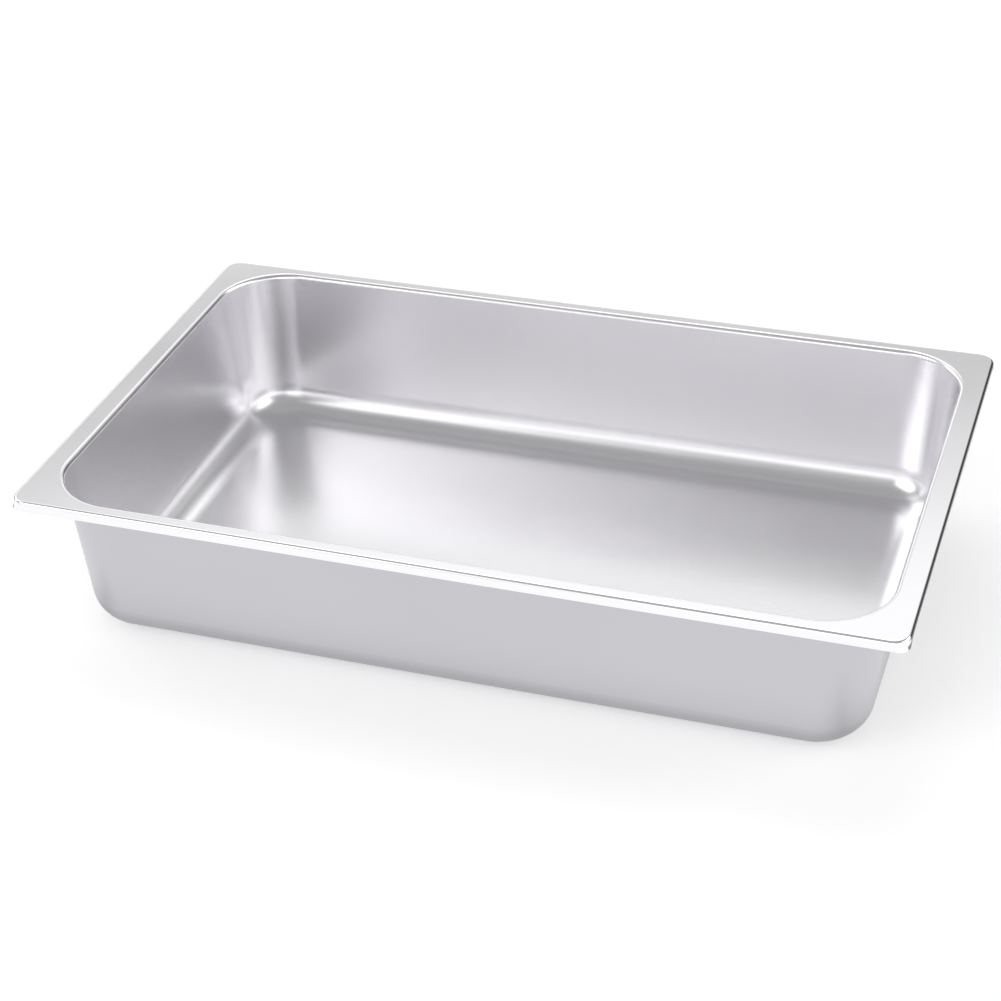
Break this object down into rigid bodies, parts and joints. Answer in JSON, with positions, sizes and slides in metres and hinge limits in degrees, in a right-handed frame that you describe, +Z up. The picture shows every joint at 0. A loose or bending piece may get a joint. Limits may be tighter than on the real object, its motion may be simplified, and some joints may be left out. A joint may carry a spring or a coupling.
{
  "type": "food pan",
  "caption": "Full-size rectangular catering pan drawn from one steel sheet: deep drafted well with rounded corners, flat flange and turned-down lip.",
  "frame": {"origin": "middle of the floor's flat underside", "axes": "+X along the length, +Y along the width, +Z up out of the mouth"},
  "size_m": [0.53, 0.325, 0.1],
  "materials": {
    "stainless": "satin-brushed well, smoother bright flange and lip"
  },
  "bodies": {
    "root": {"drawn_pan": "stainless"}
  },
  "joints": []
}
